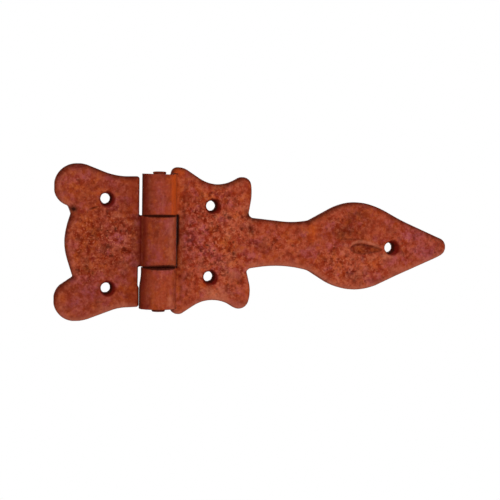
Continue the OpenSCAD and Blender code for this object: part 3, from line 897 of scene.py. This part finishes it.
class Surface:
    """What a leaf's relief and layers are worked out from, point by point: its distance s from the pin
    towards the plate, its depth in from the outline, how far it faces the front, where the knuckles and their
    ends are, how much of a barrel's turned look it has, and how rough its rust is."""

    def __init__(self, points, normal, outline, leaf):
        x, z = points[:, 0], points[:, 2]
        s = (x - PIN_X) * leaf.side
        self.points, self.normal, self.outline, self.leaf = points, normal, outline, leaf
        self.x, self.z, self.s = x, z, s
        self.noise = Noise(leaf.seed)
        self.on_barrel = np.zeros(len(points), bool)
        self.ends = np.zeros(len(points))
        for knuckle in leaf.knuckles:
            here = (z > knuckle.foot - 0.3) & (z < knuckle.top + 0.3) & (s < BARREL_R + 1)
            self.on_barrel |= here
            self.ends = np.maximum(self.ends, here * ramp(np.abs(normal[:, 2]), 0.15, 0.6))
        self.depth = -distance_to(outline, x, z)
        self.front = ramp(-normal[:, 1], 0.0, 0.5)
        self.turned = self.on_barrel * ramp(s, BARREL_R + 1, BARREL_R - 0.5)
        on_knuckle = 0.1 + 0.9 * ramp(s, 6.5, BARREL_R + 1)
        self.rough = np.where(self.on_barrel, on_knuckle, 1) * patches(x, z, leaf.marks["rough"])

    def slopes(self):
        """How far the outline's nearest side faces upwards, downwards and to the left, each from 0 to 1: the
        change of the distance to the outline between two points to either side."""
        x, z, near = self.x, self.z, 0.1
        rise = distance_to(self.outline, x, z + near) - distance_to(self.outline, x, z - near)
        left = distance_to(self.outline, x - near, z) - distance_to(self.outline, x + near, z)
        rise, left = rise / (2 * near), left / (2 * near)
        return np.clip(rise, 0, 1), np.clip(-rise, 0, 1), np.clip(left, 0, 1)


def forged_relief(surface, sizes):
    """Depth of the surface below its plain form, and the pits, flakes and brush lines that its layers show
    too. The depth is slow waves, a grain and scattered pits, stronger where the plate is rough and weaker
    along edges, on backs and on barrels, which have upright brush lines instead."""
    noise, points, rough, turned = surface.noise, surface.points, surface.rough, surface.turned
    waves = layered(noise, points, 7.0, 2)
    grain = layered(noise, points + 40, 1.9, 3, 0.7)
    pits = ramp(noise(points + 80, 1.3), 0.66, 0.92) * (0.2 + 0.8 * rough)
    brush = layered(noise, points * (1, 1, 0.07) + 120, 0.8, 2)
    flakes = ramp(layered(noise, points + 160, 2.6, 2), 0.60, 0.78) * rough
    forged = sizes.swell / MM * waves + sizes.grain / MM * grain * (0.7 + 2.2 * rough)
    down = forged + PIT_DEPTH * pits - FLAKE_HEIGHT * flakes
    inner = 0.2 + 0.8 * ramp(surface.depth, 0.1, 1.5)
    down = down * (1 - 0.5 * turned) * inner + BRUSH_DEPTH * brush * turned
    return np.where(surface.normal[:, 1] > 0.7, 0.3 * down, down), pits, flakes, brush


def forged_layers(surface, sizes, pits, flakes, brush):
    """The layers that colour a leaf: dark in its pits, with painted shade in its countersinks and bores, on
    its knuckles' end faces and along its edges, least along the lower ones; bright where it has flaked or
    been rubbed, with painted highlights inside its left edges and along its lower edges; and its soft marks,
    broken up by noise."""
    x, z, depth, front, leaf = surface.x, surface.z, surface.depth, surface.front, surface.leaf
    on_barrel, facing = surface.on_barrel, np.abs(surface.normal[:, 1])
    # Painted shade on the countersinks' flanks
    sink = ramp(sink_depth(x, z, leaf.holes, sizes), -0.1, 0.9) * (depth > 0.5)
    # Painted shade on the countersinks' steep walls and at each hole's lower right edge
    painted_bore_shade = np.maximum(sink * ramp(facing, 0.55, 0.3), bore_shade(x, z, leaf.holes, sizes))
    broken = 0.55 + 0.9 * (layered(surface.noise, surface.points + 220, 1.5, 2) - 0.5)
    marks = {kind: patches(x, z, leaf.marks[kind]) * broken * gain for kind, gain in MARK_GAINS.items()}
    up, low, left = surface.slopes()
    wall = ramp(facing, 0.5, 0.1) * ramp(-surface.points[:, 1], 4.2, 3.6)
    # Painted shade along the edges: widest and strongest on the upper and left ones, weakest on the lower
    # ones
    rim = band(np.maximum(depth, 0), 0, 0.50 + 1.00 * up + 0.60 * left)
    rim = rim * (0.42 + 0.34 * up - 0.40 * low) * (1 - 0.5 * wall)
    dark_lines = on_barrel * 0.15 * ramp(brush, 0.55, 0.85)
    bright_lines = on_barrel * 0.15 * ramp(brush, 0.45, 0.15)
    # Real pits and brush lines, and painted shade in the bores and on the knuckles' end faces, in the gaps
    # between knuckles
    pit = 0.7 * pits + 0.9 * painted_bore_shade + surface.ends + dark_lines
    # Flakes and brush lines, and a painted highlight in a band just inside left-facing edges
    rub = 0.35 * flakes + bright_lines + 0.30 * left * band(depth, 2.5, 0.6)
    return {
        "pit": np.maximum(pit, marks["pit"]) * np.maximum(front, 0.6),
        "rim": rim * ~on_barrel,
        "rub": np.maximum(rub, marks["rub"]) * front,
        # Painted highlight along the lower edges
        "dust": 0.8 * low * band(depth, 0, 1.7) * ~on_barrel,
        "glow": marks["glow"] * front,
        "warm": marks["warm"],
        "cool": marks["cool"],
        "rough": surface.rough,
        "brushed": 0.55 * surface.turned,
        # Painted shade in the countersinks, and stains
        "sink": np.maximum(0.92 * sink, marks["stain"] * front),
    }


def strengthen(layers, name, values):
    """Raises one layer to the values where they are higher."""
    layers[name] = np.maximum(layers[name], values)


def dress_leaf(surface, layers, sizes):
    """Adds the frame leaf's own marks to its layers: the dip in its upper notch, darkened as painted shade,
    the crease beside its upper hole, painted shade left of its knuckle and where the knuckle's left limb
    meets the plate, a painted highlight on the knuckle's right side, and darker, orange bands along its right
    edges beside the strap's knuckles. Says how far they lie below its relief, and how far each point moves
    right, where its right edges are fuller."""
    x, z, s, front, on_barrel = surface.x, surface.z, surface.s, surface.front, surface.on_barrel
    notch = spot(x, z, *NOTCH_SHADED_PIT) * front
    crease = spot(z - 16.2 - 0.30 * (x + 6.0), x, 0, -6.0, 0.35, 2.0) * front
    beside = ramp(x, 14.8, 15.5) * ramp(-z, 20.2, 20.8) * ramp(z, -30.0, -29.3)
    above = ramp(x, 14.8, 15.5) * ramp(z, 13.6, 14.2) * ramp(-z, -31.0, -30.4)
    right = (0.25 * beside + 0.05 * above) * ramp(-surface.points[:, 1], 0.5, 3.5)
    level = (z > MIDDLE.foot - 0.5) * (z < MIDDLE.top + 0.5)
    edge = ramp(x, 9.5, 11.5) * ramp(-x, -16.5, -16.0) * ~level
    painted_shade_left_of_knuckle = ramp(-s, -12.6, -11.8) * ramp(s, 7.0, 9.0) * level
    # Painted shade in the hollow left of the knuckle; the right edges beside the strap's knuckles are darker
    # and more orange
    strengthen(layers, "sink", (0.85 * band(s, 8.0, 1.5) * level + 0.22 * edge) * front)
    strengthen(layers, "glow", 0.25 * edge * front)
    # Painted shade on the plate left of the knuckle
    strengthen(layers, "pit", 0.22 * painted_shade_left_of_knuckle * front)
    # Painted highlight on the knuckle's right side
    strengthen(layers, "rub", 0.42 * band(s, -5.0, 1.8) * on_barrel * front)
    # Painted shade where the knuckle's left limb meets the plate
    painted_limb_shade = band(s, 8.7, 1.0) * on_barrel * front
    # Painted shade in the upper notch's dip; the crease beside the upper hole is darkened along its line
    strengthen(layers, "pit", 1.2 * notch + 0.9 * crease + 0.2 * painted_limb_shade)
    return (0.8 * notch, 0.4 * crease), right


def dent_marks(surface, layers):
    """Where the thumb dent lies, from 0 at its rim to 1 in its middle, and the low ridge above it, with the
    layers that both show: painted shade on the dent's floor, under the ridge and along the dent's lower side,
    and a painted highlight on the ridge. The dent is a leaf shape, round at the left and pointed towards the
    hole."""
    t = (surface.x - DENT_X) / DENT_REACH
    blunt = np.sqrt(np.clip(1 - ((t + 0.2) / 0.8) ** 2, 0, 1))
    pointed = np.clip(1 - 0.6 * np.clip(t + 0.2, 0, None) ** 1.3, 0, 1) * ramp(1.15 - t, 0, 0.15)
    half = DENT_HALF * np.where(t < -0.2, blunt, pointed)
    v = surface.z - DENT_Z + DENT_LEAN * t
    inside = np.clip(1 - (v / np.maximum(half, 0.01)) ** 2, 0, 1) * surface.front
    ridge = band(v - half, 0.75, 0.55) * ramp(half, 0.5, 1.6) * surface.front
    painted_shade_under_ridge = band(v, 0.72 * half, 0.55) * ramp(half, 0.6, 1.8) * surface.front
    painted_shade_along_lower_side = band(v, -0.80 * half, 0.50) * ramp(half, 0.4, 1.2) * surface.front
    # Painted shade on the dent's floor, under the ridge and along the dent's lower side
    strengthen(layers, "pit", 0.26 * np.sqrt(inside) + 0.45 * painted_shade_under_ridge + 0.35 * painted_shade_along_lower_side)
    layers["warm"] = np.maximum(layers["warm"] * (1 - inside), 0.45 * inside + 0.6 * ridge)
    # Painted shade on the dent's floor
    strengthen(layers, "sink", 0.22 * inside)
    # Painted highlight on the ridge, brighter and paler
    layers["rub"] = np.maximum(layers["rub"] * (1 - inside), ridge)
    strengthen(layers, "dust", 0.5 * ridge)
    return inside, ridge


def dress_strap(surface, layers, sizes):
    """Adds the strap's own marks to its layers: the thumb dent with its ridge and stain, a painted highlight
    along the right side of its knuckles, and painted shade on their left sides, on the plate beside the
    middle knuckle and along the window's edge. Says how far they lie below its relief, and how far each point
    moves right, which is less than nothing where the lower knuckle's free side is fuller."""
    x, z, s, front, on_barrel = surface.x, surface.z, surface.s, surface.front, surface.on_barrel
    inside, ridge = dent_marks(surface, layers)
    stain = spot(x, z, *DENT_STAIN) * front
    strengthen(layers, "pit", 0.50 * stain)
    strengthen(layers, "cool", 0.9 * stain)
    streaks = layered(Noise(5), surface.points * (1, 1, 0.12), 1.3, 2)
    outer = ramp(z, MIDDLE.top - 0.5, MIDDLE.top) + ramp(-z, 0.5 - MIDDLE.foot, -MIDDLE.foot)
    # Painted highlight along the right side of the upper and lower knuckles, where they blend into the plate
    glow = band(s, 6.9, 1.9) * outer * front * (0.35 + 0.65 * ramp(streaks, 0.3, 0.6))
    strengthen(layers, "glow", 0.95 * glow)
    # Painted shade on the left half of the knuckles
    strengthen(layers, "pit", 0.22 * ramp(-s, 0.5, 7.0) * on_barrel)
    strengthen(layers, "sink", 0.65 * ramp(-s, 3.0, 8.0) * on_barrel * front)
    # Painted shade on the plate beside the middle knuckle
    shade = band(s, 10.5, 3.0) * (z > MIDDLE.foot) * (z < MIDDLE.top) * ~on_barrel
    strengthen(layers, "pit", 0.24 * shade * front)
    # Painted shade along the window's edge, in the gap beside the middle knuckle
    window = band(s - BARREL_R, 1.3, 0.8) * (z > LOWER.top - 0.4) * (z < UPPER.foot + 0.4)
    strengthen(layers, "pit", (0.35 + 0.85 * ramp(z, -4, 2)) * window * ~on_barrel)
    # Painted shade on the knuckles' left limbs
    strengthen(layers, "pit", 0.7 * ramp(-s, 7.0, 8.0) * on_barrel)
    fuller = ramp(-s, 4.0, 7.6) * (z < LOWER.top + 0.4)
    right = -(0.25 + 0.80 * ramp(-z, 13.5, 21.5)) * fuller
    return (sizes.dent / MM * inside, -RIDGE_HEIGHT * ridge), right


def leaf_piece(name, leaf, dress, sizes):
    """A leaf as a closed shell of heights over its snapped grid, moved to the right by what its dress asks
    for, and then along its normals by the relief."""
    outline = rounded_outline(leaf.corners)
    outline = outline[np.linalg.norm(outline - np.roll(outline, 1, 0), axis=1) > 1e-5]

    def distance(x, z):
        d = distance_to(outline, x, z)
        for hole in leaf.holes:
            d = np.maximum(d, sizes.screw / MM - np.hypot(x - hole.x, z - hole.z))
        return d

    def heights(x, z):
        return leaf_heights(x, z, -distance_to(outline, x, z), leaf, sizes)

    low, high = outline.min(0) - 0.5, outline.max(0) + 0.5
    lines_x = even_lines(low[0], high[0], sizes.step / MM, barrel_lines(leaf.side))
    lines_z = even_lines(low[1], high[1], sizes.step / MM, near_ends(leaf.knuckles))
    points, faces = closed_shell(*snapped_grid(lines_x, lines_z, distance), distance, heights, WALL_ROWS)
    surface = Surface(points, normals_of(points, faces), outline, leaf)
    down, *texture = forged_relief(surface, sizes)
    layers = forged_layers(surface, sizes, *texture)
    own_marks, right = dress(surface, layers, sizes)
    for mark in own_marks:
        down = down + mark
    moved = points + right[:, None] * (1, 0, 0) - surface.normal * down[:, None]
    layers = {layer: np.clip(values, 0, 1) for layer, values in layers.items()}
    return make_piece(name, moved, faces, layers, np.array(MODEL_BOX) / MM)


def laid_along_strap(rows):
    """Corners given along the strap's own middle line, turned by its droop and moved to the pin."""
    rows = np.array(rows)
    turn = [[np.cos(STRAP_DROOP), -np.sin(STRAP_DROOP)], [np.sin(STRAP_DROOP), np.cos(STRAP_DROOP)]]
    return np.column_stack([rows[:, :2] @ np.array(turn) + (PIN_X, STRAP_RISE), rows[:, 2]])


def strap_corners():
    """Corners of the strap, anticlockwise from its point: its upper side, its two knuckles with the window
    for the middle knuckle between them, and its lower side."""
    left, window = PIN_X - BARREL_SIDE, PIN_X + BARREL_R + WINDOW_GAP
    knuckles = [
        (PIN_X + 6.2, UPPER.top - 0.3, 0.5),
        (left, UPPER.top, 0.25),
        (left, UPPER.foot, 0.25),
        (window, UPPER.foot, 0.8),
        (window - 0.1, LOWER.top, 0.7),
        (left, LOWER.top, 0.25),
        (left, LOWER.foot, 0.25),
        (PIN_X + 6.6, LOWER.foot, 0.5),
    ]
    above, below = [STRAP_POINT] + STRAP_UPPER[::-1], STRAP_LOWER[::-1]
    return np.concatenate([laid_along_strap(above), knuckles, laid_along_strap(below)])


FRAME_LEAF = Leaf(LEAF_CORNERS, LEAF_HOLES, [MIDDLE], -1, LEAF_MARKS, 7)
STRAP_LEAF = Leaf(strap_corners(), STRAP_HOLES, [UPPER, LOWER], 1, STRAP_MARKS, 11)


def make_rusty(obj, name, seed, tint, sharp):
    """Gives a piece its rust, and hard sides where its surface turns by more than an angle in degrees."""
    obj.data.materials.clear()
    obj.data.materials.append(rust_material(name, seed, tint))
    obj.data.set_sharp_from_angle(angle=np.radians(sharp))


class HINGE_OT_frame_leaf(bpy.types.Operator):
    """Makes the scalloped leaf that is screwed to the door frame, with the middle knuckle"""

    bl_idname = "hinge.frame_leaf"
    bl_label = "Frame Leaf"

    def execute(self, context):
        leaf = leaf_piece("frame_leaf_forged", FRAME_LEAF, dress_leaf, context.scene.hinge_sizes)
        bored(leaf, LEAF_WAY, MIDDLE.foot - 2, MIDDLE.top + 2)
        make_rusty(leaf, "frame_leaf_rust", 3, LEAF_TINT, LEAF_SHARP)
        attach(leaf, "frame")
        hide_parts("frame_leaf")
        return {"FINISHED"}


class HINGE_OT_strap_leaf(bpy.types.Operator):
    """Makes the strap that is screwed to the door, with its horns, spear and outer knuckles"""

    bl_idname = "hinge.strap_leaf"
    bl_label = "Strap Leaf"

    def execute(self, context):
        strap = leaf_piece("strap_leaf_forged", STRAP_LEAF, dress_strap, context.scene.hinge_sizes)
        bored(strap, STRAP_WAY, LOWER.foot - 2, UPPER.top + 2)
        make_rusty(strap, "strap_leaf_rust", 9, STRAP_TINT, LEAF_SHARP)
        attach(strap, "strap")
        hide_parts("strap_leaf")
        return {"FINISHED"}


class HINGE_OT_pin(bpy.types.Operator):
    """Makes the pin, with its spread ends"""

    bl_idname = "hinge.pin"
    bl_label = "Pin"

    def execute(self, context):
        low, high = PIN_BOX[0, 2], PIN_BOX[1, 2]
        profile = [(r, low + h) for r, h in PIN_END]
        profile += [(PIN_HEAD, LOWER.foot - 0.05), (PIN_R, LOWER.foot - 0.02)]
        profile += [(PIN_R, h) for h in np.linspace(LOWER.foot + 0.5, UPPER.top - 0.5, 60)]
        profile += [(PIN_R, UPPER.top + 0.02), (PIN_HEAD, UPPER.top + 0.05)]
        profile += [(r, high - h) for r, h in PIN_END[::-1]]
        points, faces = lathe(profile, AROUND, (PIN_X, PIN_Y))
        normal = normals_of(points, faces)
        inward = 0.10 * layered(Noise(5), points, 1.6, 3) * (np.abs(points[:, 2]) > PIN_HIDDEN)
        points = points - normal * inward[:, None]
        layers = dict.fromkeys(LAYERS, np.zeros(len(points)))
        layers["pit"] = np.full(len(points), 0.3)
        pin = make_piece("pin_forged", points, faces, layers, PIN_BOX)
        make_rusty(pin, "pin_rust", 15, PIN_TINT, PIN_SHARP)
        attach(pin, "strap")
        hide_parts("hinge_pin")
        return {"FINISHED"}


class HINGE_OT_stage(bpy.types.Operator):
    """Makes the floor, the lamps, the white surroundings and the camera"""

    bl_idname = "hinge.stage"
    bl_label = "Stage"

    def execute(self, context):
        scene = context.scene
        scene.view_settings.view_transform = "Standard"
        self.make_floor()
        self.make_world(scene)
        middle = (MODEL_BOX[0] + MODEL_BOX[1]) / 2
        for name, (offset, size, power) in LAMPS.items():
            self.make_lamp(name, middle, offset, size, power)
        self.make_camera(scene)
        return {"FINISHED"}

    def make_floor(self):
        """A flat square below the hinge that turns white towards its edges for what looks straight at it."""
        mesh = bpy.data.meshes.new("floor")
        far = FLOOR_HALF
        corners = [(-far, -far, FLOOR_Z), (far, -far, FLOOR_Z), (far, far, FLOOR_Z), (-far, far, FLOOR_Z)]
        mesh.from_pydata(corners, [], [(0, 1, 2, 3)])
        floor = bpy.data.objects.new("floor", mesh)
        bpy.context.scene.collection.objects.link(floor)
        material = plain_material("pale_floor", FLOOR_COLOUR, FLOOR_ROUGHNESS)
        tree = material.node_tree
        white = tree.nodes.new("ShaderNodeEmission")
        mixed = tree.nodes.new("ShaderNodeMixShader")
        distance = tree.nodes.new("ShaderNodeVectorMath")
        distance.operation = "LENGTH"
        coords = tree.nodes.new("ShaderNodeTexCoord").outputs["Object"]
        centred = tree.nodes.new("ShaderNodeMapping")
        centred.inputs["Location"].default_value = (-FLOOR_MIDDLE_X, 0, -FLOOR_Z)
        link(tree, coords, centred.inputs["Vector"])
        link(tree, centred.outputs["Vector"], distance.inputs[0])
        outwards = steps_node(tree, distance.outputs["Value"], *FLOOR_FADE)
        link(tree, math_node(tree, "MULTIPLY", outwards, self.seen_directly(tree)), mixed.inputs[0])
        link(tree, tree.nodes["Principled BSDF"].outputs[0], mixed.inputs[1])
        link(tree, white.outputs[0], mixed.inputs[2])
        link(tree, mixed.outputs[0], tree.nodes["Material Output"].inputs["Surface"])
        mesh.materials.append(material)

    def seen_directly(self, tree):
        """1 for rays from the camera, mirrors and glass, and 0 for the ones that light things."""
        path = tree.nodes.new("ShaderNodeLightPath")
        either = math_node(tree, "MAXIMUM", path.outputs["Is Camera Ray"], path.outputs["Is Glossy Ray"])
        return math_node(tree, "MAXIMUM", either, path.outputs["Is Transmission Ray"])

    def make_world(self, scene):
        """Surroundings that look white, and light the hinge softly, most of all from the front."""
        world = bpy.data.worlds.new("soft_white")
        scene.world = world
        world.use_nodes = True
        tree = world.node_tree
        background = tree.nodes["Background"]
        background.inputs["Color"].default_value = (1, 1, 1, 1)
        towards = tree.nodes.new("ShaderNodeVectorMath")
        towards.operation = "DOT_PRODUCT"
        towards.inputs[1].default_value = SKY_TOWARDS
        link(tree, tree.nodes.new("ShaderNodeTexCoord").outputs["Generated"], towards.inputs[0])
        lit = steps_node(tree, towards.outputs["Value"], *SKY_LIGHT)
        strength = tree.nodes.new("ShaderNodeMix")
        link(tree, self.seen_directly(tree), strength.inputs[0])
        link(tree, lit, strength.inputs[2])
        strength.inputs[3].default_value = 1.0
        link(tree, strength.outputs[0], background.inputs["Strength"])

    def make_lamp(self, name, aim, offset, size, power):
        """A round lamp at an offset from what it is aimed at."""
        lamp = bpy.data.lights.new(name, "AREA")
        lamp.shape = "DISK"
        lamp.size = size
        lamp.energy = power
        obj = bpy.data.objects.new(name, lamp)
        obj.location = aim + Vector(offset)
        obj.rotation_mode = "QUATERNION"
        obj.rotation_quaternion = (-Vector(offset)).to_track_quat("-Z", "Y")
        bpy.context.scene.collection.objects.link(obj)

    def make_camera(self, scene):
        """A camera left of the hinge and a little above it, turned a little about its line of sight."""
        azimuth, elevation, roll = np.radians([CAMERA_AZIMUTH, CAMERA_ELEVATION, CAMERA_ROLL])
        level = np.cos(elevation)
        sight = np.array([-np.sin(azimuth) * level, np.cos(azimuth) * level, -np.sin(elevation)])
        right = np.array([np.cos(azimuth), np.sin(azimuth), 0])
        up = np.cross(right, sight)
        right, up = right * np.cos(roll) + up * np.sin(roll), up * np.cos(roll) - right * np.sin(roll)
        place = np.array(CAMERA_AIM) - CAMERA_AWAY * sight
        data = bpy.data.cameras.new("camera")
        data.sensor_width = CAMERA_FILM
        data.lens = CAMERA_LENS
        data.clip_start, data.clip_end = 0.05, 20
        camera = bpy.data.objects.new("camera", data)
        axes = np.eye(4)
        axes[:3] = np.column_stack([right, up, -sight, place])
        camera.matrix_world = Matrix(axes.tolist())
        scene.collection.objects.link(camera)
        scene.camera = camera


class HINGE_PT_panel(bpy.types.Panel):
    """Lists the hinge's pieces, sizes and colours"""

    bl_idname = "HINGE_PT_panel"
    bl_label = "Hinge"
    bl_space_type = "VIEW_3D"
    bl_region_type = "UI"
    bl_category = "Hinge"

    def draw(self, context):
        for operator in OPERATORS:
            self.layout.operator(operator.bl_idname)
        for group in (context.scene.hinge_sizes, context.scene.hinge_colours):
            for name in group.bl_rna.properties.keys():
                if name not in ("rna_type", "name"):
                    self.layout.prop(group, name)


OPERATORS = (HINGE_OT_frame_leaf, HINGE_OT_strap_leaf, HINGE_OT_pin, HINGE_OT_stage)
CLASSES = (HingeSizes, HingeColours, *OPERATORS, HINGE_PT_panel)


def register():
    """Makes the classes and the two groups of settings known."""
    for cls in CLASSES:
        bpy.utils.register_class(cls)
    bpy.types.Scene.hinge_sizes = PointerProperty(type=HingeSizes)
    bpy.types.Scene.hinge_colours = PointerProperty(type=HingeColours)


def unregister():
    """Takes back what register did."""
    del bpy.types.Scene.hinge_colours
    del bpy.types.Scene.hinge_sizes
    for cls in reversed(CLASSES):
        bpy.utils.unregister_class(cls)


def main():
    """Registers the classes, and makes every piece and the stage."""
    register()
    bpy.ops.hinge.frame_leaf()
    bpy.ops.hinge.strap_leaf()
    bpy.ops.hinge.pin()
    bpy.ops.hinge.stage()


if __name__ == "__main__":
    main()
